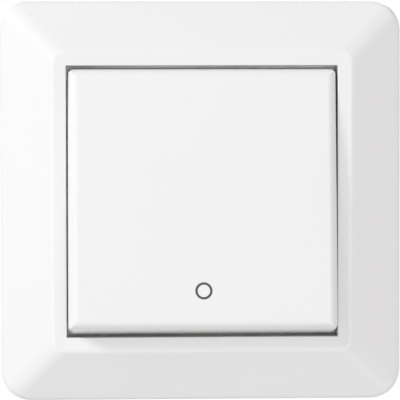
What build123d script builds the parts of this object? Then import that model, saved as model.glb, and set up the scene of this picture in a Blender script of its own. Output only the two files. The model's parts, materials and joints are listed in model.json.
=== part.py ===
from build123d import *
from math import cos, hypot, radians, sin, sqrt, tan
import os

# Flush-mounted two-pole rocker switch with its cover frame, in millimetres.
# Every piece is drawn lying on its back: X to the right, Y up the wall and Z out of the wall,
# with the wall plane at Z = 0 and the centre of the switch at X = Y = 0.
# The last lines stand the pieces up, so that the front faces -Y and +Z is up.

# Cover frame
frame_size = 82.0
frame_corner_radius = 6.2
frame_rim_height = 3.2
frame_height = 9.0
frame_wall = 2.0
hollow_corner_cut = 2.6
hollow_slope_cut = 1.2
slope_corner_radius = 6.0
rim_edge_radius = 1.3
ridge_edge_radius = 2.2
ledge_width = 2.8
opening_size = 55.2
opening_edge_radius = 0.25
collar_wall = 1.4
frame_rib_thickness = 1.2
frame_rib_offset = 23.0

# Rocker
rocker_proud = 2.9
rocker_side_gap = 0.2
rocker_end_gap = 0.45
rocker_swing_angle = 10.0
rocker_side_draft_angle = 1.5
rocker_edge_radius = 2.0
rocker_corner_radius = 1.2
rocker_face_thickness = 2.0
rocker_wall = 1.6
rocker_rim_clearance = 0.7
rocker_rib_thickness = 1.2
rocker_rib_depth = 1.6
rocker_rib_x = 20.5
rocker_rib_y = 13.0
clip_width = 6.0
clip_thickness = 1.4
clip_nose = 0.6
clip_nose_depth = 1.2
clip_offset = 5.6
clip_play = 0.2

# Rocker carrier and its bearings
pivot_height = 4.0
trunnion_radius = 1.5
bearing_play = 0.06
bearing_mouth = 2.5
bearing_post_thickness = 3.2
bearing_post_width = 6.4
bearing_rim = 1.0
bearing_side_play = 0.3
carrier_length = 26.0
carrier_beam_width = 9.0
carrier_edge = 0.75
table_length = 22.0
table_width = 19.0
table_thickness = 1.8
barrel_radius = 2.8
barrel_length = 7.5
plunger_bore_depth = 9.3

# Plungers and their springs
plunger_radius = 1.7
plunger_play = 0.08
plunger_reach = 9.3
plunger_body_length = 5.8
plunger_spigot_radius = 0.7
plunger_spigot_length = 1.2
plunger_gap = 0.12
spring_wire = 0.44
spring_coil_radius = 1.2
spring_turns = 3.5
spring_wire_facets = 6

# Support ring
ring_margin = 3.5
ring_corner_radius = 9.0
ring_thickness = 1.2
ring_clearance = 0.3
ring_window_width = 31.0
ring_window_height = 20.0
ring_window_radius = 2.0
box_screw_spacing = 60.0
box_screw_hole_radius = 2.1
levelling_slot_angle = 16.0
tab_offset = 16.0
tab_width = 6.0
tab_height = 4.6
tab_gap = 0.25
tab_relief = 0.6
bend_radius = 0.5
catch_width = 3.2
catch_height = 1.6
catch_play = 0.15
catch_drop = 1.0

# Housing
housing_size = 46.0
housing_corner_cut = 6.5
housing_edge_radius = 0.8
cover_thickness = 1.8
cover_edge_radius = 0.6
window_play = 0.8
stop_radius = 1.5
stop_x = 12.0
stop_y = 18.5
stop_play = 0.25
base_wall = 1.6
pole_spacing = 18.0
chamber_play = 0.15
barrier_height = 2.0
barrier_edge_radius = 0.5
rivet_offset = 19.0
rivet_radius = 1.2
rivet_bore = 0.7
rivet_head_radius = 2.2
rivet_head_height = 0.7
rivet_head_edge = 0.35
rivet_play = 0.1
boss_radius = 3.0

# Contacts
contact_swing_angle = 18.0
contact_arm = 10.0
contact_tail = 8.0
lever_width = 6.0
lever_thickness = 1.2
lever_end_margin = 2.2
lever_corner_radius = 1.2
lever_rise = 0.25
knife_radius = 0.6
knife_play = 0.05
contact_radius = 1.6
contact_height = 0.9
contact_edge = 0.22
contact_dome_radius = 5.0
contact_shank_radius = 0.8
contact_shank_play = 0.02
contact_gap = 0.1
strip_thickness = 1.0
strip_width = 6.0

# Terminals
terminal_width = 7.0
terminal_depth = 7.6
terminal_height = 10.0
terminal_edge = 0.5
terminal_play = 0.1
wire_radius = 1.7
wire_bore_depth = 8.6
wire_inset = 4.7
wire_entry_play = 0.25
wire_funnel = 0.8
clamp_screw_radius = 1.75
clamp_thread_play = 0.05
clamp_head_radius = 2.5
clamp_head_height = 1.8
clamp_head_play = 0.35
clamp_tip_gap = 0.25
clamp_tip_edge = 0.44
clamp_head_edge = 0.45
clamp_slot_width = 0.8
clamp_slot_depth = 0.9

# Levels and places worked out from the sizes above
half_opening = opening_size / 2
ridge_size = opening_size + 2 * ledge_width
collar_size = opening_size + 2 * collar_wall
half_collar = collar_size / 2
frame_slope = (frame_height - frame_rim_height) / ((frame_size - ridge_size) / 2)
slope_drop = frame_wall * hypot(1, frame_slope)
inner_frame_size = frame_size - 2 * frame_wall
inner_rim_height = frame_rim_height + frame_slope * frame_wall - slope_drop
ring_size = inner_frame_size - 2 * ring_margin
above_ring = ring_thickness + ring_clearance
tab_top = ring_thickness + tab_height
tab_window_low = tab_top - catch_drop - catch_height
tab_inner = half_collar + tab_gap
tab_outer = tab_inner + ring_thickness

half_swing = rocker_swing_angle / 2
rest_tilt = -half_swing
rocker_face = frame_height + rocker_proud
rocker_width = opening_size - 2 * rocker_side_gap
rocker_height = opening_size - 2 * rocker_end_gap
rocker_rim = ring_thickness + rocker_rim_clearance + rocker_height / 2 * sin(radians(half_swing))
rocker_depth = rocker_face - rocker_rim
rocker_underside = rocker_face - rocker_face_thickness
table_top = rocker_underside
table_bottom = table_top - table_thickness

cover_front = ring_thickness + cover_thickness
half_housing = housing_size / 2
pole_x = pole_spacing / 2
bearing_inner = carrier_length / 2 + bearing_side_play
bearing_outer = bearing_inner + bearing_post_thickness
bearing_radius = trunnion_radius + bearing_play
plunger_bore_radius = plunger_radius + plunger_play
plunger_center = pivot_height - plunger_reach
plunger_top = plunger_center + plunger_body_length
spring_seat = pivot_height - barrel_length + plunger_bore_depth

lever_top = lever_rise + lever_thickness
knife_level = plunger_center - plunger_radius - plunger_gap - lever_top
half_contact_swing = contact_swing_angle / 2
dome_center_y = -contact_arm
dome_center_z = lever_rise - contact_height + contact_dome_radius
dome_lowest = (
    knife_level
    + dome_center_y * sin(radians(half_contact_swing))
    + dome_center_z * cos(radians(half_contact_swing))
    - contact_dome_radius
)
touch_y = (
    dome_center_y * cos(radians(half_contact_swing))
    - dome_center_z * sin(radians(half_contact_swing))
)
fixed_face = dome_lowest - contact_gap
strip_top = fixed_face - contact_height
strip_bottom = strip_top - strip_thickness

chamber_width = max(terminal_width, lever_width, strip_width, 2 * barrel_radius) + 2 * chamber_play
chamber_end = half_housing - base_wall
terminal_outer = chamber_end - terminal_play
terminal_inner = terminal_outer - terminal_depth
terminal_bottom = strip_bottom - terminal_height
terminal_y = (terminal_outer + terminal_inner) / 2
wire_y = terminal_outer - wire_inset
clamp_level = strip_bottom - terminal_height / 2
bank_back = terminal_bottom - base_wall
bank_inner = terminal_inner - terminal_play - base_wall
middle_back = strip_bottom - base_wall
knife_foot_end = terminal_outer - terminal_edge


def prism(profile, low, high):
    """A flat profile drawn out from Z = low to Z = high."""
    return Pos(0, 0, low) * extrude(profile, high - low)


def block(x_span, y_span, z_span):
    """A box between pairs of limits on each axis."""
    center = [(low + high) / 2 for low, high in (x_span, y_span, z_span)]
    return Pos(*center) * Box(*[high - low for low, high in (x_span, y_span, z_span)])


def centred(size):
    """The pair of limits of a size that is centred on zero."""
    return (-size / 2, size / 2)


def pin(radius, x, y, low, high):
    """A round pin that stands on Z between two levels."""
    return Pos(x, y, (low + high) / 2) * Cylinder(radius, high - low)


def four_ways(piece):
    """A piece and its copies, mirrored about the upright and the level middle planes."""
    pair = [piece, mirror(piece, Plane.YZ)]
    return pair + [mirror(copy, Plane.XZ) for copy in pair]


def swung(piece, level, degrees):
    """A piece turned about the X axis at the given level."""
    return Pos(0, 0, level) * Rot(degrees, 0, 0) * Pos(0, 0, -level) * piece


def at_rest(piece):
    """A piece of the rocker group, tilted from level to its rest position, lower edge out."""
    return swung(piece, pivot_height, rest_tilt)


def edges_at(shape, level):
    """The edges of a shape that lie wholly at one level."""
    return shape.edges().filter_by_position(Axis.Z, level - 1e-4, level + 1e-4)


def housing_outline(inset=0.0):
    """The square of the housing with its corners cut off, so that it fits a round box."""
    corner_reach = (housing_size - housing_corner_cut) * sqrt(2)
    square = Rectangle(housing_size - 2 * inset, housing_size - 2 * inset)
    turned = Rotation(0, 0, 45) * Rectangle(corner_reach - 2 * inset, corner_reach - 2 * inset)
    return square & turned


# Cover frame: sloping sides round a flat ledge, hollow behind, with a collar that guides the rocker


def frame_block(size, rim_level, top_size, top_level):
    """A square block with a straight rim and slopes that close in to a smaller square top."""
    half = size / 2
    top_half = top_size / 2
    profile = Polygon(
        (-half, 0),
        (half, 0),
        (half, rim_level),
        (top_half, top_level),
        (-top_half, top_level),
        (-half, rim_level),
        align=None,
    )
    across = extrude(Plane.XZ * profile, half, both=True)
    return across & (Rot(0, 0, 90) * across)


def corner_edges(sharp):
    """The upright corner edges of a frame block's rim, and the slanting ones between its slopes."""
    levels = sharp.edges().group_by(Axis.Z)
    return levels[1], levels[3]


def frame_skin():
    """The outside of the frame, with rounded corners, rim and ridge."""
    upright, slanting = corner_edges(frame_block(frame_size, frame_rim_height, ridge_size, frame_height))
    skin = fillet(upright, frame_corner_radius) & fillet(slanting, slope_corner_radius)
    skin = fillet(edges_at(skin, frame_height), ridge_edge_radius)
    rim = []
    for face in skin.faces():
        if abs(face.normal_at().Z) < 1e-4:
            rim += [edge for edge in face.edges() if edge.bounding_box().min.Z > frame_rim_height - 1e-3]
    return fillet(rim, rim_edge_radius)


def frame_hollow():
    """The room behind the frame's skin."""
    sharp = frame_block(inner_frame_size, inner_rim_height, ridge_size, frame_height - slope_drop)
    upright, slanting = corner_edges(sharp)
    return chamfer(upright, hollow_corner_cut) & chamfer(slanting, hollow_slope_cut)


def catch_nose():
    """The nose on the collar that snaps into the window of a ring tab."""
    low = tab_window_low + catch_play
    high = low + catch_height - 2 * catch_play
    profile = Polygon((half_collar, low), (tab_outer, low), (half_collar, high), align=None)
    return Pos(tab_offset, 0, 0) * extrude(Plane.YZ * profile, (catch_width / 2) - catch_play, both=True)


def cover_frame():
    hollow = frame_hollow() - prism(Rectangle(collar_size, collar_size), above_ring, frame_height)
    ribs = []
    for x in (-frame_rib_offset, frame_rib_offset):
        upright = block((x - frame_rib_thickness / 2, x + frame_rib_thickness / 2),
                        centred(inner_frame_size), (above_ring, frame_height))
        ribs += [upright, Rot(0, 0, 90) * upright]
    hollow -= ribs
    frame = frame_skin() - hollow - prism(Rectangle(opening_size, opening_size), 0, frame_height)
    lip = []
    for edge in edges_at(frame, frame_height):
        middle = edge.center()
        if max(abs(middle.X), abs(middle.Y)) <= half_opening:
            lip.append(edge)
    frame = fillet(lip, opening_edge_radius)
    return frame + four_ways(catch_nose())


# Rocker: a shell with leaning sides, ends rounded about its pivot, ribs inside and two clips for the carrier


def leaning_profile(size, low, high, lean_angle):
    """A flat profile between two levels whose two sides lean in towards the upper one."""
    lean = (high - low) * tan(radians(lean_angle))
    half = size / 2
    return Polygon((-half, low), (half, low), (half - lean, high), (lean - half, high), align=None)


def rocker_form(width, height, low, high):
    """A sharp-edged block with leaning sides and ends that follow an arc about the pivot."""
    across = Plane.XZ * leaning_profile(width, low, high, rocker_side_draft_angle)
    ends = Pos(0, 0, pivot_height) * Rot(0, 90, 0) * Cylinder(height / 2, width)
    return extrude(across, height / 2, both=True) & ends


def clip_leg():
    """A spring leg with a hooked nose that snaps under the edge of its slot in the carrier's table."""
    nose_top = table_bottom - clip_play / 2
    tip = nose_top - clip_nose_depth
    outer = clip_offset + clip_thickness
    profile = Polygon(
        (clip_offset, rocker_underside),
        (clip_offset, tip),
        (outer, tip),
        (outer + clip_play + clip_nose, nose_top),
        (outer, nose_top),
        (outer, rocker_underside),
        align=None,
    )
    return extrude(Plane.YZ * profile, clip_width / 2, both=True)


def rocker():
    levels = rocker_form(rocker_width, rocker_height, rocker_rim, rocker_face).edges().group_by(Axis.Z)
    shell = fillet(levels[-1], rocker_edge_radius) & fillet(levels[1], rocker_corner_radius)
    inner_width = rocker_width - 2 * rocker_wall
    inner_height = rocker_height - 2 * rocker_wall
    hollow = rocker_form(inner_width, inner_height, rocker_rim, rocker_underside)
    hollow = fillet(hollow.edges().group_by(Axis.Z)[-1], rocker_wall / 2)
    rib_low = rocker_underside - rocker_rib_depth
    ribs = []
    for x in (-rocker_rib_x, rocker_rib_x):
        ribs.append(block((x - rocker_rib_thickness / 2, x + rocker_rib_thickness / 2),
                          centred(inner_height), (rib_low, rocker_underside)))
    for y in (-rocker_rib_y, rocker_rib_y):
        ribs.append(block(centred(inner_width),
                          (y - rocker_rib_thickness / 2, y + rocker_rib_thickness / 2),
                          (rib_low, rocker_underside)))
    leg = clip_leg()
    return at_rest(shell - (hollow - ribs) + [leg, mirror(leg, Plane.XZ)])


# Carrier: the inner seesaw with trunnions, a table for the rocker and two plunger barrels


def rocker_carrier():
    body = block(
        centred(carrier_length), centred(carrier_beam_width), (pivot_height - trunnion_radius, table_top)
    )
    body = chamfer(body.edges().filter_by(Axis.X).group_by(Axis.Z)[0], carrier_edge)
    body += block(centred(table_length), centred(table_width), (table_bottom, table_top))
    body += Pos(0, 0, pivot_height) * Rot(0, 90, 0) * Cylinder(
        trunnion_radius, 2 * (bearing_outer - bearing_side_play)
    )
    slot_inner = clip_offset - clip_play
    slot_outer = clip_offset + clip_thickness + clip_play
    for x in (-pole_x, pole_x):
        body += pin(barrel_radius, x, 0, pivot_height - barrel_length, table_top)
    for x in (-pole_x, pole_x):
        body -= pin(plunger_bore_radius, x, 0, pivot_height - barrel_length, spring_seat)
    for side in (-1, 1):
        y_span = sorted((side * slot_inner, side * slot_outer))
        body -= block(centred(clip_width + 2 * clip_play), y_span, (table_bottom, table_top))
        hook_span = sorted((side * slot_inner, side * (slot_outer + clip_nose + clip_play)))
        body -= block(
            centred(clip_width + 2 * clip_play), hook_span, (pivot_height - trunnion_radius, table_bottom)
        )
    return at_rest(body)


def plunger(x):
    """A round plunger with a ball tip that slides in a barrel of the carrier."""
    body = pin(plunger_radius, x, 0, plunger_center, plunger_top)
    body += Pos(x, 0, plunger_center) * Sphere(plunger_radius)
    body += pin(plunger_spigot_radius, x, 0, plunger_top, plunger_top + plunger_spigot_length)
    return at_rest(body)


def plunger_spring(x):
    """A coil spring between the plunger's shoulder and the closed end of its barrel."""
    wire_radius_half = spring_wire / 2
    length = spring_seat - plunger_top - spring_wire
    path = Helix(length / spring_turns, length, spring_coil_radius)
    section = Plane(path @ 0, z_dir=path % 0) * RegularPolygon(wire_radius_half, spring_wire_facets)
    coil = sweep(section, path, is_frenet=True)
    return at_rest(Pos(x, 0, plunger_top + wire_radius_half) * coil)


# Support ring: pressed steel plate with holes and slots for the box screws and bent tabs for the frame


def ring_tab():
    """An upright tab bent up from the ring's edge, with a window for the frame's catch nose."""
    foot = tab_inner - bend_radius - ring_thickness
    profile = Polygon(
        (foot, 0),
        (tab_outer, 0),
        (tab_outer, tab_top),
        (tab_inner, tab_top),
        (tab_inner, ring_thickness),
        (foot, ring_thickness),
        align=None,
    )
    outer_bend = profile.vertices().sort_by_distance((tab_outer, 0))[:1]
    profile = fillet(outer_bend, bend_radius + ring_thickness)
    inner_bend = profile.vertices().sort_by_distance((tab_inner, ring_thickness))[:1]
    profile = fillet(inner_bend, bend_radius)
    tab = extrude(Plane.YZ * profile, tab_width / 2, both=True)
    window = block(
        centred(catch_width), (tab_inner, tab_outer), (tab_window_low, tab_window_low + catch_height)
    )
    return Pos(tab_offset, 0, 0) * (tab - window)


def tab_notch():
    """The notch that a tab leaves in the ring's edge where its metal was bent up."""
    inner = tab_inner - bend_radius
    width = tab_width + 2 * tab_relief
    return Pos(tab_offset, 0, 0) * block(centred(width), (inner, ring_size / 2), (0, ring_thickness))


def support_ring():
    plate = prism(RectangleRounded(ring_size, ring_size, ring_corner_radius), 0, ring_thickness)
    window = RectangleRounded(ring_window_width, ring_window_height, ring_window_radius)
    plate -= prism(window, 0, ring_thickness)
    for side in (-1, 1):
        plate -= pin(box_screw_hole_radius, side * box_screw_spacing / 2, 0, 0, ring_thickness)
        start = side * 90 - levelling_slot_angle / 2
        arc = CenterArc((0, 0), box_screw_spacing / 2, start, levelling_slot_angle)
        plate -= prism(SlotArc(arc, 2 * box_screw_hole_radius), 0, ring_thickness)
        plate -= pin(rivet_radius + rivet_play, side * rivet_offset, 0, 0, ring_thickness)
    plate -= four_ways(tab_notch())
    return plate + four_ways(ring_tab())


# Housing: a cover with bearings in front of the ring, and a base with the contact chambers behind it


def bearing_post():
    """An upright that holds one trunnion in a bore with a narrower snap-in mouth."""
    top = pivot_height + bearing_radius + bearing_rim
    post = block((bearing_inner, bearing_outer), centred(bearing_post_width), (ring_thickness, top))
    post = fillet(post.edges().filter_by(Axis.X).group_by(Axis.Z)[-1], bearing_rim)
    return post - block((bearing_inner, bearing_outer), centred(bearing_mouth), (pivot_height, top))


def housing_cover():
    plate = prism(housing_outline(), ring_thickness, cover_front)
    plate = fillet(edges_at(plate, cover_front), cover_edge_radius)
    plate -= block(
        centred(carrier_length + 2 * bearing_side_play),
        centred(carrier_beam_width + 2 * window_play),
        (ring_thickness, cover_front),
    )
    stop_top = stop_level()
    for x in (-stop_x, stop_x):
        for y in (-stop_y, stop_y):
            plate += pin(stop_radius, x, y, ring_thickness, stop_top)
    post = bearing_post()
    plate += [post, mirror(post, Plane.YZ)]
    plate -= Pos(0, 0, pivot_height) * Rot(0, 90, 0) * Cylinder(bearing_radius, 2 * bearing_outer)
    for x in (-rivet_offset, rivet_offset):
        plate -= pin(rivet_radius + rivet_play, x, 0, ring_thickness, cover_front)
    return plate


def stop_level():
    """The height of the posts that catch the rocker's underside at the end of its swing."""
    lift = (rocker_underside - pivot_height) * cos(radians(half_swing))
    drop = (stop_y + stop_radius) * sin(radians(half_swing))
    return pivot_height + lift - drop - stop_play


def chamber(x):
    """The room of one pole: lever above a shelf, and a deep pocket for a terminal at each end."""
    x_span = (x - chamber_width / 2, x + chamber_width / 2)
    room = block(x_span, (-chamber_end, chamber_end), (strip_bottom, 0))
    for side in (-1, 1):
        y_span = sorted((side * (terminal_inner - terminal_play), side * chamber_end))
        room += block(x_span, y_span, (terminal_bottom, strip_bottom))
    return room


def wire_entry(x, y):
    """A round way in for one wire, with a funnel at the back."""
    radius = wire_radius + wire_entry_play
    funnel = Pos(x, y, bank_back) * Cone(
        radius + wire_funnel, radius, wire_funnel, align=(Align.CENTER, Align.CENTER, Align.MIN)
    )
    return pin(radius, x, y, bank_back, terminal_bottom) + funnel


def screw_hole(x, side):
    """The hole in the top or bottom wall that a clamp screw is reached through."""
    hole = Rot(90, 0, 0) * Cylinder(clamp_head_radius + clamp_head_play, base_wall)
    return Pos(x, side * (half_housing - base_wall / 2), clamp_level) * hole


def housing_base():
    outline = housing_outline()
    base = prism(outline, middle_back, 0)
    banks = []
    for side in (-1, 1):
        bank = Rectangle(housing_size, half_housing - bank_inner)
        bank = Pos(0, side * (half_housing + bank_inner) / 2) * bank
        banks.append(prism(outline & bank, bank_back, 0))
    base += banks
    base = fillet(edges_at(base, bank_back), housing_edge_radius)
    for side in (-1, 1):
        barrier = block(
            centred(base_wall), sorted((side * bank_inner, side * (half_housing - housing_edge_radius))),
            (bank_back - barrier_height, bank_back)
        )
        base += fillet(edges_at(barrier, bank_back - barrier_height), barrier_edge_radius)
    inside = housing_outline(base_wall)
    chamber_outer = pole_x + chamber_width / 2 + base_wall
    chamber_inner = pole_x - chamber_width / 2 - base_wall
    middle_pocket = Rectangle(2 * chamber_inner, 2 * chamber_end) & inside
    base -= prism(middle_pocket, strip_bottom, 0)
    for side in (-1, 1):
        strip = Pos(side * (chamber_outer + half_housing) / 2, 0) * Rectangle(
            half_housing - chamber_outer, housing_size
        )
        side_pocket = prism(strip & inside, strip_bottom, 0)
        base -= side_pocket - pin(boss_radius, side * rivet_offset, 0, strip_bottom, 0)
        base -= chamber(side * pole_x)
        base -= pin(rivet_radius + rivet_play, side * rivet_offset, 0, middle_back, 0)
        for end in (-1, 1):
            base -= wire_entry(side * pole_x, end * wire_y)
            base -= screw_hole(side * pole_x, end)
    return base


def housing_rivet(x):
    """A tubular rivet that clamps cover, ring and base together."""
    back = middle_back - rivet_head_height
    front = cover_front + rivet_head_height
    rivet = pin(rivet_radius, x, 0, back, front)
    for low, high in ((cover_front, front), (back, middle_back)):
        rivet += pin(rivet_head_radius, x, 0, low, high)
    rivet = chamfer(edges_at(rivet, front) + edges_at(rivet, back), rivet_head_edge)
    return rivet - pin(rivet_bore, x, 0, back, front)


# Contacts: one seesaw lever for each pole, on a knife edge that is fed from the upper terminal


def lever_at_rest(piece):
    """A piece of a contact lever, swung to the side that the plunger presses at rest."""
    return swung(piece, knife_level, half_contact_swing)


def contact_lever(x):
    span = (-contact_arm - lever_end_margin, contact_tail)
    bar = block(centred(lever_width), span, (knife_level + lever_rise, knife_level + lever_top))
    bar = fillet(bar.edges().filter_by(Axis.Z), lever_corner_radius)
    bar -= Pos(0, 0, knife_level) * Rot(0, 90, 0) * Cylinder(knife_radius + knife_play, lever_width)
    bar -= pin(contact_shank_radius + contact_shank_play, 0, -contact_arm,
               knife_level + lever_rise, knife_level + lever_top)
    return Pos(x, 0, 0) * lever_at_rest(bar)


def contact_rivet():
    """A contact rivet with a domed head below Z = 0 and a shank above it."""
    head = pin(contact_radius, 0, 0, -contact_height, 0)
    head &= Pos(0, 0, contact_dome_radius - contact_height) * Sphere(contact_dome_radius)
    return head


def moving_contact(x):
    shank = pin(contact_shank_radius, 0, 0, 0, lever_thickness)
    placed = Pos(0, -contact_arm, knife_level + lever_rise) * (contact_rivet() + shank)
    return Pos(x, 0, 0) * lever_at_rest(placed)


def knife_bracket(x):
    """A bent strip: an upright with a rounded edge under the lever, and a foot on the terminal."""
    upright = block(centred(strip_width), centred(2 * knife_radius), (strip_bottom, knife_level))
    upright += Pos(0, 0, knife_level) * Rot(0, 90, 0) * Cylinder(knife_radius, strip_width)
    foot = block(centred(strip_width), (-knife_radius, knife_foot_end), (strip_bottom, strip_top))
    return Pos(x, 0, 0) * (upright + foot)


def fixed_strip(x):
    """A flat strip from the lower terminal to the fixed contact under the lever's end."""
    inner = touch_y + contact_radius + lever_end_margin / 2
    strip = block(centred(strip_width), (-knife_foot_end, inner), (strip_bottom, strip_top))
    strip -= pin(contact_shank_radius + contact_shank_play, 0, touch_y, strip_bottom, strip_top)
    return Pos(x, 0, 0) * strip


def fixed_contact(x):
    button = pin(contact_radius, x, touch_y, strip_top, fixed_face)
    button = chamfer(edges_at(button, fixed_face), contact_edge)
    return button + pin(contact_shank_radius, x, touch_y, strip_bottom, strip_top)


# Terminals: brass blocks with a wire bore from the back and a clamp screw from above or below


def terminal_block(x, end):
    body = block(centred(terminal_width), (terminal_inner, terminal_outer), (terminal_bottom, strip_bottom))
    body = chamfer(body.edges().filter_by(Axis.Z), terminal_edge)
    body -= pin(wire_radius, 0, wire_y, terminal_bottom, terminal_bottom + wire_bore_depth)
    thread = Pos(0, (wire_y + terminal_outer) / 2, clamp_level) * Rot(90, 0, 0) * Cylinder(
        clamp_screw_radius + clamp_thread_play, terminal_outer - wire_y
    )
    return Pos(x, 0, 0) * Rot(0, 0, 0 if end > 0 else 180) * (body - thread)


def clamp_screw(x, end):
    """A slotted clamp screw, backed off so that its tip is just clear of the wire bore."""
    tip = wire_y + wire_radius + clamp_tip_gap
    head_back = terminal_outer + terminal_play
    head_front = head_back + clamp_head_height
    screw = pin(clamp_screw_radius, 0, 0, tip, head_back)
    screw = chamfer(edges_at(screw, tip), clamp_tip_edge)
    head = pin(clamp_head_radius, 0, 0, head_back, head_front)
    screw += chamfer(edges_at(head, head_front), clamp_head_edge)
    screw -= block(
        centred(2 * clamp_head_radius), centred(clamp_slot_width), (head_front - clamp_slot_depth, head_front)
    )
    lying = Pos(0, 0, clamp_level) * Rot(-90, 0, 0) * screw
    return Pos(x, 0, 0) * Rot(0, 0, 0 if end > 0 else 180) * lying


# All pieces, stood up and written one file each

pieces = {
    "cover_frame": cover_frame(),
    "rocker": rocker(),
    "rocker_carrier": rocker_carrier(),
    "support_ring": support_ring(),
    "housing_cover": housing_cover(),
    "housing_base": housing_base(),
    "housing_rivets": Compound([housing_rivet(x) for x in (-rivet_offset, rivet_offset)]),
    "clamp_screws": Compound([clamp_screw(x, end) for x in (-pole_x, pole_x) for end in (-1, 1)]),
}
for side, x in (("left", -pole_x), ("right", pole_x)):
    pieces[f"plunger_{side}"] = plunger(x)
    pieces[f"plunger_spring_{side}"] = plunger_spring(x)
    pieces[f"contact_lever_{side}"] = contact_lever(x)
    pieces[f"moving_contact_{side}"] = moving_contact(x)
    pieces[f"knife_bracket_{side}"] = knife_bracket(x)
    pieces[f"fixed_strip_{side}"] = fixed_strip(x)
    pieces[f"fixed_contact_{side}"] = fixed_contact(x)
    pieces[f"line_terminal_{side}"] = terminal_block(x, 1)
    pieces[f"load_terminal_{side}"] = terminal_block(x, -1)

os.makedirs("parts", exist_ok=True)
for name, piece in pieces.items():
    export_step(Rot(90, 0, 0) * piece, f"parts/{name}.step")
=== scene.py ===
# Two-pole rocker switch: finishes for every piece, the ring mark on the rocker, threaded clamp screws,
# wound springs for the plungers, soft studio light and a camera in front of the switch.
import json
from math import ceil, cos, pi, radians, sin

import bpy
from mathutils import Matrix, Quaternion, Vector


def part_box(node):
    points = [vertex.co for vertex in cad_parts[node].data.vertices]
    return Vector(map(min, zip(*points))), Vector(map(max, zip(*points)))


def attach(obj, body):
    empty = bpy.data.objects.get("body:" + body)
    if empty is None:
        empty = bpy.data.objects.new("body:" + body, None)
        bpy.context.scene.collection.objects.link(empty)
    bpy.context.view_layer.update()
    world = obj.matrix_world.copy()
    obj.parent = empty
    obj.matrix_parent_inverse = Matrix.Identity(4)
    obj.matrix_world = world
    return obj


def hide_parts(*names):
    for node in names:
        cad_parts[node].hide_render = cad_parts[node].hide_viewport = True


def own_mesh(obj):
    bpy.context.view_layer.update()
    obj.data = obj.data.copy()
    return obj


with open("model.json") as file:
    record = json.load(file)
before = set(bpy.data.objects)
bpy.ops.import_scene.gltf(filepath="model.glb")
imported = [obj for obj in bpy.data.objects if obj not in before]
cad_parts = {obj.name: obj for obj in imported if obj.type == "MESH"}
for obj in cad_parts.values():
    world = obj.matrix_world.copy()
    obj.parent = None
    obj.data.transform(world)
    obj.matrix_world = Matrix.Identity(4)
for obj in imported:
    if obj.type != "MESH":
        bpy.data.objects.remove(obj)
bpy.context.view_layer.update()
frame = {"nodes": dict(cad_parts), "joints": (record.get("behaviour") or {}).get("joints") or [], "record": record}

MM = 0.001
NODES = frame["nodes"]
JOINTS = {joint["name"]: joint for joint in frame["joints"]}

# Ring mark, printed on the rocker near its lower edge
MARK_DIAMETER = 3.45 * MM
MARK_STROKE = 0.46 * MM
MARK_HEIGHT = 0.05 * MM
MARK_SINK = 0.03 * MM
MARK_DROP = 18.6 * MM
MARK_OFFSET = 0.05 * MM
MARK_SEGMENTS = 72

# Clamp screws; the turns are keyed by side, right or left, and by end, upper or lower
SCREW_SHANK_RADIUS = 1.75 * MM
SCREW_CORE_RADIUS = 1.36 * MM
SCREW_PITCH = 0.6 * MM
SCREW_CREST = 0.08 * MM
SCREW_ROOT = 0.1 * MM
SCREW_TIP_CHAMFER = 0.44 * MM
SCREW_HEAD_HEIGHT = 1.8 * MM
SCREW_HEAD_CHAMFER = 0.45 * MM
SCREW_SLOT_WIDTH = 0.8 * MM
SCREW_SLOT_DEPTH = 0.9 * MM
SCREW_SEGMENTS = 48
SCREW_TURNS = {(-1, 1): 20, (-1, -1): 105, (1, 1): -35, (1, -1): 62}

# Plunger springs
SPRING_WIRE = 0.44 * MM
SPRING_TURNS = 3.5
SPRING_PLAY = 0.01 * MM
SPRING_WIRE_SEGMENTS = 12
SPRING_TURN_SEGMENTS = 40

# Edges that stay sharp when a piece is shaded smooth, in degrees
MARK_EDGE_ANGLE = 35
SCREW_EDGE_ANGLE = 30
SPRING_EDGE_ANGLE = 40

# Camera, as worked out from the edges of the frame, the opening and the rocker
CAMERA_AZIMUTH = -2.68
CAMERA_ELEVATION = 2.3
CAMERA_ROLL = -0.107
CAMERA_DISTANCE = 520 * MM
CAMERA_AIM = Vector((-0.305, -5.0, 0.155)) * MM
CAMERA_LENS = 228.7
CAMERA_NEAR = 0.01
CAMERA_FAR = 20.0

# World and lamps: each lamp's angle off the front axis, its bearing round that axis from the right,
# its width and height in metres, its power in watts and its tint
WORLD_LEVEL = 0.42
WORLD_TINT = (1.0, 0.965, 0.945)
PLAIN_TINT = (1.0, 1.0, 1.0)
COOL_TINT = (0.94, 0.98, 1.0)
LAMP_DISTANCE = 0.9
LAMPS = {
    "Key": (65, 150, 0.2, 0.2, 4.05, COOL_TINT),
    "Corner": (56, 135, 0.12, 0.12, 0.42, PLAIN_TINT),
    "Side": (45, 5, 0.8, 1.0, 1.55, PLAIN_TINT),
    "Low": (40, -85, 1.2, 0.7, 1.25, PLAIN_TINT),
    "Front": (3, -90, 1.4, 1.4, 1.2, PLAIN_TINT),
    "Right strip": (21, 2, 0.1, 0.6, 0.36, PLAIN_TINT),
    "Left strip": (35, 178, 0.2, 0.6, 0.45, PLAIN_TINT),
    "Back": (145, 75, 0.5, 0.5, 2.6, PLAIN_TINT),
}

# Floor
FLOOR_LEVEL = -0.45
FLOOR_RADIUS = 0.4
FLOOR_SEGMENTS = 96
FLOOR_COLOUR = (0.9, 0.9, 0.9)
FLOOR_ROUGHNESS = 0.7
FLOOR_FADE_START = 0.3 * FLOOR_RADIUS
FLOOR_FADE_END = 0.98 * FLOOR_RADIUS

# Fine surface effects: the part of a noise's range that is used, and scales beside the main one
NOISE_LOW = 0.3
NOISE_HIGH = 0.7
GLOSS_TO_CLOUD_SCALE = 4.0
WAVE_TO_GRAIN_SCALE = 0.12
BUMP_DISTANCE = 0.02 * MM


# Shared effects


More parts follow.
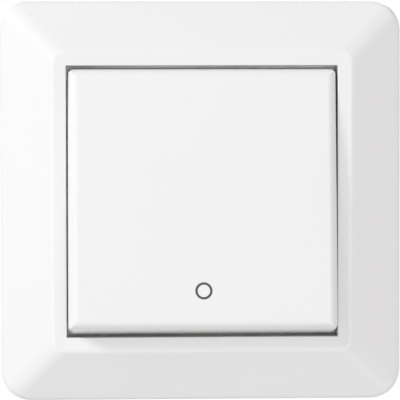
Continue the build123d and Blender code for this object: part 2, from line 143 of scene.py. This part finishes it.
def new_group(name, inputs, outputs):
    """An empty shader group with named sockets. Returns the group, its input node and its output node."""
    group = bpy.data.node_groups.new(name, "ShaderNodeTree")
    for label, kind, value in inputs:
        socket = group.interface.new_socket(name=label, in_out="INPUT", socket_type=kind)
        socket.default_value = value
    for label, kind in outputs:
        group.interface.new_socket(name=label, in_out="OUTPUT", socket_type=kind)
    return group, group.nodes.new("NodeGroupInput"), group.nodes.new("NodeGroupOutput")


def feed(tree, source, socket):
    """Links a socket, or sets a plain value."""
    if isinstance(source, bpy.types.NodeSocket):
        tree.links.new(source, socket)
    else:
        socket.default_value = source


def noise(tree, vector, scale, detail=3.0):
    """A noise texture on a vector. The scale may be a socket or a number."""
    node = tree.nodes.new("ShaderNodeTexNoise")
    node.inputs["Detail"].default_value = detail
    tree.links.new(vector, node.inputs["Vector"])
    feed(tree, scale, node.inputs["Scale"])
    return node.outputs["Fac"]


def spread(tree, value, low, high):
    """Spreads the middle of a noise's range over a range of values."""
    node = tree.nodes.new("ShaderNodeMapRange")
    tree.links.new(value, node.inputs["Value"])
    node.inputs["From Min"].default_value = NOISE_LOW
    node.inputs["From Max"].default_value = NOISE_HIGH
    feed(tree, low, node.inputs["To Min"])
    feed(tree, high, node.inputs["To Max"])
    return node.outputs["Result"]


def calculate(tree, operation, first, second):
    """A math node on two values or sockets."""
    node = tree.nodes.new("ShaderNodeMath")
    node.operation = operation
    feed(tree, first, node.inputs[0])
    feed(tree, second, node.inputs[1])
    return node.outputs["Value"]


def blend_colour(tree, factor, first, second):
    """A colour between two colours."""
    node = tree.nodes.new("ShaderNodeMix")
    node.data_type = "RGBA"
    feed(tree, factor, node.inputs["Factor"])
    feed(tree, first, node.inputs[6])
    feed(tree, second, node.inputs[7])
    return node.outputs[2]


def moulded_surface_group():
    """Moulded plastic: a faint cloud in the colour, uneven gloss and the fine grain of the mould."""
    group, given, out = new_group(
        "Moulded surface",
        [
            ("Colour", "NodeSocketColor", (0.8, 0.8, 0.8, 1)),
            ("Cloud Colour", "NodeSocketColor", (0.78, 0.78, 0.78, 1)),
            ("Cloud Scale", "NodeSocketFloat", 60.0),
            ("Gloss Low", "NodeSocketFloat", 0.25),
            ("Gloss High", "NodeSocketFloat", 0.32),
            ("Grain Scale", "NodeSocketFloat", 2500.0),
            ("Grain", "NodeSocketFloat", 0.2),
        ],
        [("Colour", "NodeSocketColor"), ("Roughness", "NodeSocketFloat"), ("Height", "NodeSocketFloat")],
    )
    place = group.nodes.new("ShaderNodeTexCoord").outputs["Object"]
    cloud = noise(group, place, given.outputs["Cloud Scale"])
    shade = spread(group, cloud, 0.0, 1.0)
    colour = blend_colour(group, shade, given.outputs["Colour"], given.outputs["Cloud Colour"])
    gloss_scale = calculate(group, "MULTIPLY", given.outputs["Cloud Scale"], GLOSS_TO_CLOUD_SCALE)
    gloss = noise(group, place, gloss_scale, detail=5.0)
    roughness = spread(group, gloss, given.outputs["Gloss Low"], given.outputs["Gloss High"])
    grain = noise(group, place, given.outputs["Grain Scale"], detail=2.0)
    wave_scale = calculate(group, "MULTIPLY", given.outputs["Grain Scale"], WAVE_TO_GRAIN_SCALE)
    wave = noise(group, place, wave_scale, detail=1.0)
    height = calculate(group, "MULTIPLY", calculate(group, "ADD", grain, wave), given.outputs["Grain"])
    group.links.new(colour, out.inputs["Colour"])
    group.links.new(roughness, out.inputs["Roughness"])
    group.links.new(height, out.inputs["Height"])
    return group


def worked_metal_group():
    """Worked metal: streaks along one axis, blotches of dull film and fine scratches in the height."""
    group, given, out = new_group(
        "Worked metal",
        [
            ("Colour", "NodeSocketColor", (0.6, 0.6, 0.6, 1)),
            ("Film Colour", "NodeSocketColor", (0.5, 0.5, 0.5, 1)),
            ("Streak Stretch", "NodeSocketVector", (1.0, 1.0, 1.0)),
            ("Streak Scale", "NodeSocketFloat", 600.0),
            ("Blotch Scale", "NodeSocketFloat", 250.0),
            ("Gloss Low", "NodeSocketFloat", 0.25),
            ("Gloss High", "NodeSocketFloat", 0.4),
            ("Streak Depth", "NodeSocketFloat", 0.2),
        ],
        [("Colour", "NodeSocketColor"), ("Roughness", "NodeSocketFloat"), ("Height", "NodeSocketFloat")],
    )
    place = group.nodes.new("ShaderNodeTexCoord").outputs["Object"]
    stretch = group.nodes.new("ShaderNodeVectorMath")
    stretch.operation = "MULTIPLY"
    group.links.new(place, stretch.inputs[0])
    group.links.new(given.outputs["Streak Stretch"], stretch.inputs[1])
    streak = noise(group, stretch.outputs["Vector"], given.outputs["Streak Scale"], detail=4.0)
    cells = group.nodes.new("ShaderNodeTexVoronoi")
    group.links.new(place, cells.inputs["Vector"])
    group.links.new(given.outputs["Blotch Scale"], cells.inputs["Scale"])
    tone = group.nodes.new("ShaderNodeSeparateColor")
    group.links.new(cells.outputs["Color"], tone.inputs["Color"])
    film = calculate(group, "MULTIPLY", calculate(group, "ADD", tone.outputs["Red"], streak), 0.5)
    colour = blend_colour(group, film, given.outputs["Colour"], given.outputs["Film Colour"])
    roughness = spread(group, streak, given.outputs["Gloss Low"], given.outputs["Gloss High"])
    height = calculate(group, "MULTIPLY", streak, given.outputs["Streak Depth"])
    group.links.new(colour, out.inputs["Colour"])
    group.links.new(roughness, out.inputs["Roughness"])
    group.links.new(height, out.inputs["Height"])
    return group


MOULDED_SURFACE = moulded_surface_group()
WORKED_METAL = worked_metal_group()


def finish_material(name, group, values, metallic=0.0, index=1.5):
    """A material whose colour, roughness and fine relief come from one of the shared groups."""
    material = bpy.data.materials.new(name)
    material.use_nodes = True
    tree = material.node_tree
    shader = tree.nodes["Principled BSDF"]
    effect = tree.nodes.new("ShaderNodeGroup")
    effect.node_tree = group
    for label, value in values.items():
        effect.inputs[label].default_value = value
    bump = tree.nodes.new("ShaderNodeBump")
    bump.inputs["Distance"].default_value = BUMP_DISTANCE
    shader.inputs["Metallic"].default_value = metallic
    shader.inputs["IOR"].default_value = index
    tree.links.new(effect.outputs["Colour"], shader.inputs["Base Color"])
    tree.links.new(effect.outputs["Roughness"], shader.inputs["Roughness"])
    tree.links.new(effect.outputs["Height"], bump.inputs["Height"])
    tree.links.new(bump.outputs["Normal"], shader.inputs["Normal"])
    return material


def opaque(colour):
    return (*colour, 1.0)


def plastic(name, colour, cloud, cloud_scale, gloss, grain_scale, grain, index=1.5):
    """A moulded plastic with its colour, its cloud colour, a range of roughness and a grain."""
    values = {
        "Colour": opaque(colour),
        "Cloud Colour": opaque(cloud),
        "Cloud Scale": cloud_scale,
        "Gloss Low": gloss[0],
        "Gloss High": gloss[1],
        "Grain Scale": grain_scale,
        "Grain": grain,
    }
    return finish_material(name, MOULDED_SURFACE, values, index=index)


def metal(name, colour, film, stretch, streak_scale, blotch_scale, gloss, depth):
    """A bare or plated metal with streaks along the axis that is least stretched."""
    values = {
        "Colour": opaque(colour),
        "Film Colour": opaque(film),
        "Streak Stretch": stretch,
        "Streak Scale": streak_scale,
        "Blotch Scale": blotch_scale,
        "Gloss Low": gloss[0],
        "Gloss High": gloss[1],
        "Streak Depth": depth,
    }
    return finish_material(name, WORKED_METAL, values, metallic=1.0)


# Finishes, one for each material slot of the record

ALONG_X = (0.06, 1.0, 1.0)
ALONG_Y = (1.0, 0.06, 1.0)
ALONG_Z = (1.0, 1.0, 0.06)

FINISHES = {
    "frame_white": plastic(
        "Frame white", (0.860, 0.862, 0.866), (0.852, 0.854, 0.858), 45, (0.16, 0.20), 2200, 0.05, 1.55
    ),
    "rocker_white": plastic(
        "Rocker white", (0.860, 0.862, 0.866), (0.852, 0.854, 0.858), 50, (0.16, 0.20), 2200, 0.05, 1.55
    ),
    "carrier_plastic": plastic(
        "Carrier grey", (0.40, 0.41, 0.42), (0.36, 0.37, 0.38), 150, (0.38, 0.48), 3500, 0.5
    ),
    "cover_plastic": plastic(
        "Cover off-white", (0.66, 0.66, 0.63), (0.62, 0.62, 0.59), 120, (0.40, 0.50), 3200, 0.6
    ),
    "base_plastic": plastic(
        "Base off-white", (0.58, 0.58, 0.55), (0.54, 0.54, 0.51), 90, (0.48, 0.60), 2600, 1.0
    ),
    "plunger_plastic": plastic(
        "Natural nylon", (0.74, 0.69, 0.56), (0.70, 0.64, 0.50), 200, (0.34, 0.44), 4000, 0.3
    ),
    "ring_steel": metal(
        "Zinc plated ring", (0.74, 0.715, 0.68), (0.64, 0.615, 0.58), ALONG_X, 900, 260, (0.28, 0.44), 0.35
    ),
    "rivet_steel": metal(
        "Nickel plated rivet", (0.66, 0.64, 0.60), (0.56, 0.54, 0.50), ALONG_Y, 2500, 900, (0.18, 0.32), 0.2
    ),
    "screw_steel": metal(
        "Zinc plated screw", (0.60, 0.60, 0.58), (0.52, 0.51, 0.47), ALONG_Z, 2500, 900, (0.22, 0.38), 0.3
    ),
    "spring_steel": metal(
        "Drawn spring wire", (0.48, 0.49, 0.51), (0.38, 0.39, 0.41), ALONG_Y, 3000, 900, (0.18, 0.30), 0.2
    ),
    "strip_brass": metal(
        "Stamped brass", (0.72, 0.53, 0.25), (0.60, 0.42, 0.18), ALONG_Z, 1500, 400, (0.22, 0.38), 0.3
    ),
    "terminal_brass": metal(
        "Drawn brass", (0.74, 0.56, 0.28), (0.62, 0.45, 0.20), ALONG_Y, 1800, 450, (0.20, 0.36), 0.4
    ),
    "contact_silver": metal(
        "Contact silver", (0.83, 0.81, 0.78), (0.72, 0.70, 0.66), ALONG_X, 2500, 900, (0.24, 0.40), 0.2
    ),
}


def mark_ink():
    """Dark grey printing ink: nearly even, with the small mottle of a pad print."""
    return plastic("Mark ink", (0.052, 0.052, 0.055), (0.07, 0.07, 0.073), 2500, (0.42, 0.52), 9000, 0.3)


def dress_nodes():
    """Gives every solid of the frame the finish of its material slot."""
    for subpart in frame["record"]["subparts"]:
        node = NODES[subpart["node"]]
        node.data.materials.clear()
        node.data.materials.append(FINISHES[subpart["material_slot"]])


# Modelling by hand


def start_piece(name):
    """Names the piece that was just added and returns it."""
    piece = bpy.context.active_object
    piece.name = name
    piece.data.name = name
    return piece


def deselect_all():
    if bpy.context.object and bpy.context.object.mode != "OBJECT":
        bpy.ops.object.mode_set(mode="OBJECT")
    bpy.ops.object.select_all(action="DESELECT")


def make_active(piece):
    deselect_all()
    piece.select_set(True)
    bpy.context.view_layer.objects.active = piece


def apply_modifiers(piece):
    make_active(piece)
    for modifier in list(piece.modifiers):
        bpy.ops.object.modifier_apply(modifier=modifier.name)


def apply_place(piece):
    """Puts the piece's place into its mesh and leaves its object at the origin."""
    make_active(piece)
    bpy.ops.object.transform_apply(location=True, rotation=True, scale=True)


def shade_smooth(piece, edge_angle):
    """Smooth shading with sharp edges where the surface turns by more than an angle."""
    make_active(piece)
    bpy.ops.object.shade_smooth_by_angle(angle=radians(edge_angle))


def turn_normals_out():
    """Points all faces of the mesh in edit mode outwards."""
    bpy.ops.mesh.select_all(action="SELECT")
    bpy.ops.mesh.normals_make_consistent(inside=False)


def cut_with(piece, tool, operation):
    """Joins a tool to a piece, cuts it away or keeps what they share, and deletes the tool."""
    change = piece.modifiers.new("Change", "BOOLEAN")
    change.operation = operation
    change.object = tool
    apply_modifiers(piece)
    bpy.data.objects.remove(tool)


# Ring mark


def rocker_face():
    """The middle and the outward normal of the rocker's flat front, found on its mesh."""
    mesh = NODES["rocker"].data
    front = max(mesh.polygons, key=lambda face: face.area if face.normal.y < -0.9 else 0)
    pivot = Vector(JOINTS["rocker_tilt"]["pos_m"])
    normal = front.normal.copy()
    return pivot + normal * (front.center - pivot).dot(normal), normal


def ring_mark():
    """A flat printed ring on the rocker's front, just proud of it."""
    deselect_all()
    bpy.ops.mesh.primitive_circle_add(
        vertices=MARK_SEGMENTS, radius=MARK_DIAMETER / 2, fill_type="NGON", location=(0, 0, -MARK_SINK)
    )
    piece = start_piece("ring_mark")
    bpy.ops.object.mode_set(mode="EDIT")
    bpy.ops.mesh.select_all(action="SELECT")
    bpy.ops.mesh.inset(thickness=MARK_STROKE)
    bpy.ops.mesh.delete(type="FACE")
    bpy.ops.mesh.select_all(action="SELECT")
    bpy.ops.mesh.extrude_region_move(TRANSFORM_OT_translate={"value": (0, 0, MARK_HEIGHT)})
    turn_normals_out()
    bpy.ops.object.mode_set(mode="OBJECT")
    bevel = piece.modifiers.new("Ink edge", "BEVEL")
    bevel.width = MARK_HEIGHT / 3
    bevel.segments = 2
    bevel.limit_method = "ANGLE"
    apply_modifiers(piece)
    middle, normal = rocker_face()
    down = Vector((1, 0, 0)).cross(normal)
    piece.rotation_mode = "QUATERNION"
    piece.rotation_quaternion = normal.to_track_quat("Z", "Y")
    piece.location = middle + down * MARK_DROP + Vector((MARK_OFFSET, 0, 0))
    apply_place(piece)
    shade_smooth(piece, MARK_EDGE_ANGLE)
    piece.data.materials.append(mark_ink())
    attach(piece, "rocker")


# Clamp screws


def turned_blank(name, rings):
    """A round blank on the Z axis, drawn up from ring to ring of radius and level."""
    radius, level = rings[0]
    deselect_all()
    bpy.ops.mesh.primitive_circle_add(
        vertices=SCREW_SEGMENTS, radius=radius, fill_type="NGON", location=(0, 0, level)
    )
    piece = start_piece(name)
    apply_place(piece)
    bpy.ops.object.mode_set(mode="EDIT")
    bpy.ops.mesh.select_all(action="SELECT")
    for next_radius, next_level in rings[1:]:
        bpy.ops.mesh.extrude_region_move(TRANSFORM_OT_translate={"value": (0, 0, next_level - level)})
        ratio = next_radius / radius
        bpy.ops.transform.resize(value=(ratio, ratio, 1))
        radius = next_radius
        level = next_level
    turn_normals_out()
    bpy.ops.object.mode_set(mode="OBJECT")
    return piece


def wound_thread(length):
    """A threaded rod on the Z axis: one tooth of its profile, wound up and cut off square at both ends."""
    depth = SCREW_SHANK_RADIUS - SCREW_CORE_RADIUS
    flank = (SCREW_PITCH - SCREW_ROOT - SCREW_CREST) / 2
    deselect_all()
    bpy.ops.mesh.primitive_plane_add(size=SCREW_PITCH)
    piece = start_piece("clamp_screw")
    bpy.ops.object.mode_set(mode="EDIT")
    bpy.ops.mesh.select_all(action="SELECT")
    bpy.ops.mesh.merge(type="CENTER")
    bpy.ops.transform.translate(value=(SCREW_CORE_RADIUS, 0, -2 * SCREW_PITCH))
    for step in ((0, 0, SCREW_ROOT), (depth, 0, flank), (0, 0, SCREW_CREST), (-depth, 0, flank)):
        bpy.ops.mesh.extrude_region_move(TRANSFORM_OT_translate={"value": step})
    bpy.ops.object.mode_set(mode="OBJECT")
    winding = piece.modifiers.new("Thread", "SCREW")
    winding.axis = "Z"
    winding.angle = 2 * pi
    winding.screw_offset = SCREW_PITCH
    winding.iterations = ceil(length / SCREW_PITCH) + 3
    winding.steps = SCREW_SEGMENTS
    winding.render_steps = SCREW_SEGMENTS
    apply_modifiers(piece)
    bpy.ops.object.mode_set(mode="EDIT")
    bpy.ops.mesh.select_all(action="SELECT")
    bpy.ops.mesh.remove_doubles(threshold=SCREW_PITCH / 1000)
    for level, outward in ((0, -1), (length, 1)):
        bpy.ops.mesh.select_all(action="SELECT")
        bpy.ops.mesh.bisect(
            plane_co=(0, 0, level), plane_no=(0, 0, outward), use_fill=True, clear_outer=True, threshold=1e-7
        )
    turn_normals_out()
    bpy.ops.object.mode_set(mode="OBJECT")
    return piece


def clamp_screw(length, head_radius):
    """A slotted screw on the Z axis with its tip at the origin and a chamfered head."""
    top = length + SCREW_HEAD_HEIGHT
    crest = SCREW_SHANK_RADIUS + SCREW_CREST
    piece = wound_thread(length)
    tip_rings = [(crest - SCREW_TIP_CHAMFER, -SCREW_CREST), (crest, SCREW_TIP_CHAMFER), (crest, top)]
    cut_with(piece, turned_blank("tip_blank", tip_rings), "INTERSECT")
    head_rings = [
        (head_radius, length - SCREW_CREST),
        (head_radius, top - SCREW_HEAD_CHAMFER),
        (head_radius - SCREW_HEAD_CHAMFER, top),
    ]
    cut_with(piece, turned_blank("head_blank", head_rings), "UNION")
    deselect_all()
    bpy.ops.mesh.primitive_cube_add(
        size=1, location=(0, 0, top), scale=(3 * head_radius, SCREW_SLOT_WIDTH, 2 * SCREW_SLOT_DEPTH)
    )
    slot_tool = start_piece("slot_tool")
    apply_place(slot_tool)
    cut_with(piece, slot_tool, "DIFFERENCE")
    return piece


def clamp_screws():
    """Four threaded clamp screws in place of the plain ones, each turned its own way."""
    low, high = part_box("clamp_screws")
    head_radius = (high[1] - low[1]) / 2
    screw_x = high[0] - head_radius
    screw_y = (low[1] + high[1]) / 2
    tip = min(abs(vertex.co.z) for vertex in NODES["clamp_screws"].data.vertices)
    pattern = clamp_screw(high[2] - SCREW_HEAD_HEIGHT - tip, head_radius)
    placed = []
    for (side, end), turn in SCREW_TURNS.items():
        make_active(pattern)
        bpy.ops.object.duplicate(linked=False)
        screw = bpy.context.active_object
        upright = Quaternion((1, 0, 0), 0 if end > 0 else pi)
        screw.rotation_mode = "QUATERNION"
        screw.rotation_quaternion = upright @ Quaternion((0, 0, 1), radians(turn))
        screw.location = (side * screw_x, screw_y, end * tip)
        apply_place(screw)
        placed.append(screw)
    bpy.data.objects.remove(pattern)
    deselect_all()
    for screw in placed:
        screw.select_set(True)
    bpy.context.view_layer.objects.active = placed[0]
    bpy.ops.object.join()
    piece = start_piece("threaded_clamp_screws")
    shade_smooth(piece, SCREW_EDGE_ANGLE)
    piece.data.materials.clear()
    piece.data.materials.append(FINISHES["screw_steel"])
    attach(piece, "switch_body")
    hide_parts("clamp_screws")


# Plunger springs


def coil_spring(name, coil_radius, length):
    """A coil of round wire on the Z axis, with its lower end at the origin."""
    deselect_all()
    bpy.ops.mesh.primitive_circle_add(
        vertices=SPRING_WIRE_SEGMENTS,
        radius=SPRING_WIRE / 2,
        fill_type="NOTHING",
        location=(coil_radius, 0, SPRING_WIRE / 2),
        rotation=(pi / 2, 0, 0),
    )
    piece = start_piece(name)
    apply_place(piece)
    winding = piece.modifiers.new("Winding", "SCREW")
    winding.axis = "Z"
    winding.angle = 2 * pi * SPRING_TURNS
    winding.screw_offset = length - SPRING_WIRE
    winding.steps = round(SPRING_TURNS * SPRING_TURN_SEGMENTS)
    winding.render_steps = winding.steps
    apply_modifiers(piece)
    bpy.ops.object.mode_set(mode="EDIT")
    bpy.ops.mesh.select_all(action="SELECT")
    bpy.ops.mesh.fill_holes(sides=0)
    turn_normals_out()
    bpy.ops.object.mode_set(mode="OBJECT")
    return piece


def plunger_spring(side):
    """A wound spring in place of the plain one, laid along the plunger's slide and carried with the rocker."""
    node = f"plunger_spring_{side}"
    slide = JOINTS[f"plunger_{side}_slide"]
    axis = Vector(slide["axis"]).normalized()
    low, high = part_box(node)
    foot = Vector(((low[0] + high[0]) / 2, *JOINTS["rocker_tilt"]["pos_m"][1:]))
    heights = [(vertex.co - foot).dot(axis) for vertex in NODES[node].data.vertices]
    bottom = min(heights) + SPRING_PLAY
    top = max(heights) - SPRING_PLAY
    length = top - bottom
    piece = coil_spring(f"wound_spring_{side}", (high[0] - low[0] - SPRING_WIRE) / 2, length)
    piece.rotation_mode = "QUATERNION"
    piece.rotation_quaternion = axis.to_track_quat("Z", "X")
    piece.location = foot + axis * bottom
    apply_place(piece)
    shade_smooth(piece, SPRING_EDGE_ANGLE)
    piece.data.materials.append(FINISHES["spring_steel"])
    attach(piece, "rocker")
    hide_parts(node)
    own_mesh(piece)


# Studio


def soft_lamp(name, direction, width, height, power, tint):
    """A rectangular soft box that points at the switch from a direction."""
    data = bpy.data.lights.new(name, "AREA")
    data.shape = "RECTANGLE"
    data.size = width
    data.size_y = height
    data.energy = power
    data.color = tint
    lamp = bpy.data.objects.new(name, data)
    bpy.context.scene.collection.objects.link(lamp)
    lamp.location = direction.normalized() * LAMP_DISTANCE
    lamp.rotation_mode = "QUATERNION"
    lamp.rotation_quaternion = direction.to_track_quat("Z", "Y")


def towards(polar, bearing):
    """A direction at an angle off the front axis, and a bearing round it from the right, upwards."""
    tilt = radians(polar)
    turn = radians(bearing)
    return Vector((sin(tilt) * cos(turn), -cos(tilt), sin(tilt) * sin(turn)))


def light_studio():
    """A low cool key from the upper left, wide weak lamps on the other sides, and small accents."""
    for name, (polar, bearing, width, height, power, tint) in LAMPS.items():
        soft_lamp(name, towards(polar, bearing), width, height, power, tint)


def white_surround():
    """An even, slightly warm world that lights the switch softly and shows as plain white."""
    world = bpy.data.worlds.new("White surround")
    bpy.context.scene.world = world
    world.use_nodes = True
    tree = world.node_tree
    surround = tree.nodes["Background"]
    path = tree.nodes.new("ShaderNodeLightPath")
    seen = calculate(tree, "MAXIMUM", path.outputs["Is Camera Ray"], path.outputs["Is Glossy Ray"])
    seen = calculate(tree, "MAXIMUM", seen, path.outputs["Is Transmission Ray"])
    level = tree.nodes.new("ShaderNodeMix")
    level.inputs["A"].default_value = WORLD_LEVEL
    level.inputs["B"].default_value = 1.0
    tree.links.new(seen, level.inputs["Factor"])
    tree.links.new(level.outputs["Result"], surround.inputs["Strength"])
    colour = blend_colour(tree, seen, opaque(WORLD_TINT), opaque(PLAIN_TINT))
    tree.links.new(colour, surround.inputs["Color"])


def fading_floor_material():
    """A pale matt surface that fades out towards the floor's edge and can't be seen from below."""
    material = bpy.data.materials.new("Pale floor")
    material.use_nodes = True
    tree = material.node_tree
    shader = tree.nodes["Principled BSDF"]
    shader.inputs["Base Color"].default_value = opaque(FLOOR_COLOUR)
    shader.inputs["Roughness"].default_value = FLOOR_ROUGHNESS
    place = tree.nodes.new("ShaderNodeTexCoord").outputs["Object"]
    flat = tree.nodes.new("ShaderNodeVectorMath")
    flat.operation = "MULTIPLY"
    flat.inputs[1].default_value = (1, 1, 0)
    tree.links.new(place, flat.inputs[0])
    reach = tree.nodes.new("ShaderNodeVectorMath")
    reach.operation = "LENGTH"
    tree.links.new(flat.outputs["Vector"], reach.inputs[0])
    fade = tree.nodes.new("ShaderNodeMapRange")
    fade.interpolation_type = "SMOOTHSTEP"
    fade.inputs["From Min"].default_value = FLOOR_FADE_START
    fade.inputs["From Max"].default_value = FLOOR_FADE_END
    fade.inputs["To Min"].default_value = 1.0
    fade.inputs["To Max"].default_value = 0.0
    tree.links.new(reach.outputs["Value"], fade.inputs["Value"])
    below = tree.nodes.new("ShaderNodeNewGeometry").outputs["Backfacing"]
    above = calculate(tree, "SUBTRACT", 1.0, below)
    alpha = calculate(tree, "MULTIPLY", fade.outputs["Result"], above)
    tree.links.new(alpha, shader.inputs["Alpha"])
    return material


def pale_floor():
    """A pale round floor below the switch."""
    deselect_all()
    bpy.ops.mesh.primitive_circle_add(
        vertices=FLOOR_SEGMENTS, radius=FLOOR_RADIUS, fill_type="NGON", location=(0, 0, FLOOR_LEVEL)
    )
    floor = start_piece("floor")
    apply_place(floor)
    floor.data.materials.append(fading_floor_material())


def front_camera():
    """A long lens in front of the switch, a little to the left and above."""
    azimuth = radians(CAMERA_AZIMUTH)
    elevation = radians(CAMERA_ELEVATION)
    back = Vector((sin(azimuth) * cos(elevation), -cos(azimuth) * cos(elevation), sin(elevation)))
    data = bpy.data.cameras.new("Camera")
    data.lens = CAMERA_LENS
    data.clip_start = CAMERA_NEAR
    data.clip_end = CAMERA_FAR
    camera = bpy.data.objects.new("Camera", data)
    bpy.context.scene.collection.objects.link(camera)
    camera.location = CAMERA_AIM + back * CAMERA_DISTANCE
    camera.rotation_mode = "QUATERNION"
    camera.rotation_quaternion = back.to_track_quat("Z", "Y") @ Quaternion((0, 0, 1), radians(CAMERA_ROLL))
    bpy.context.scene.camera = camera


dress_nodes()
ring_mark()
clamp_screws()
for spring_side in ("left", "right"):
    plunger_spring(spring_side)
white_surround()
light_studio()
pale_floor()
front_camera()
bpy.context.scene.view_settings.view_transform = "Standard"
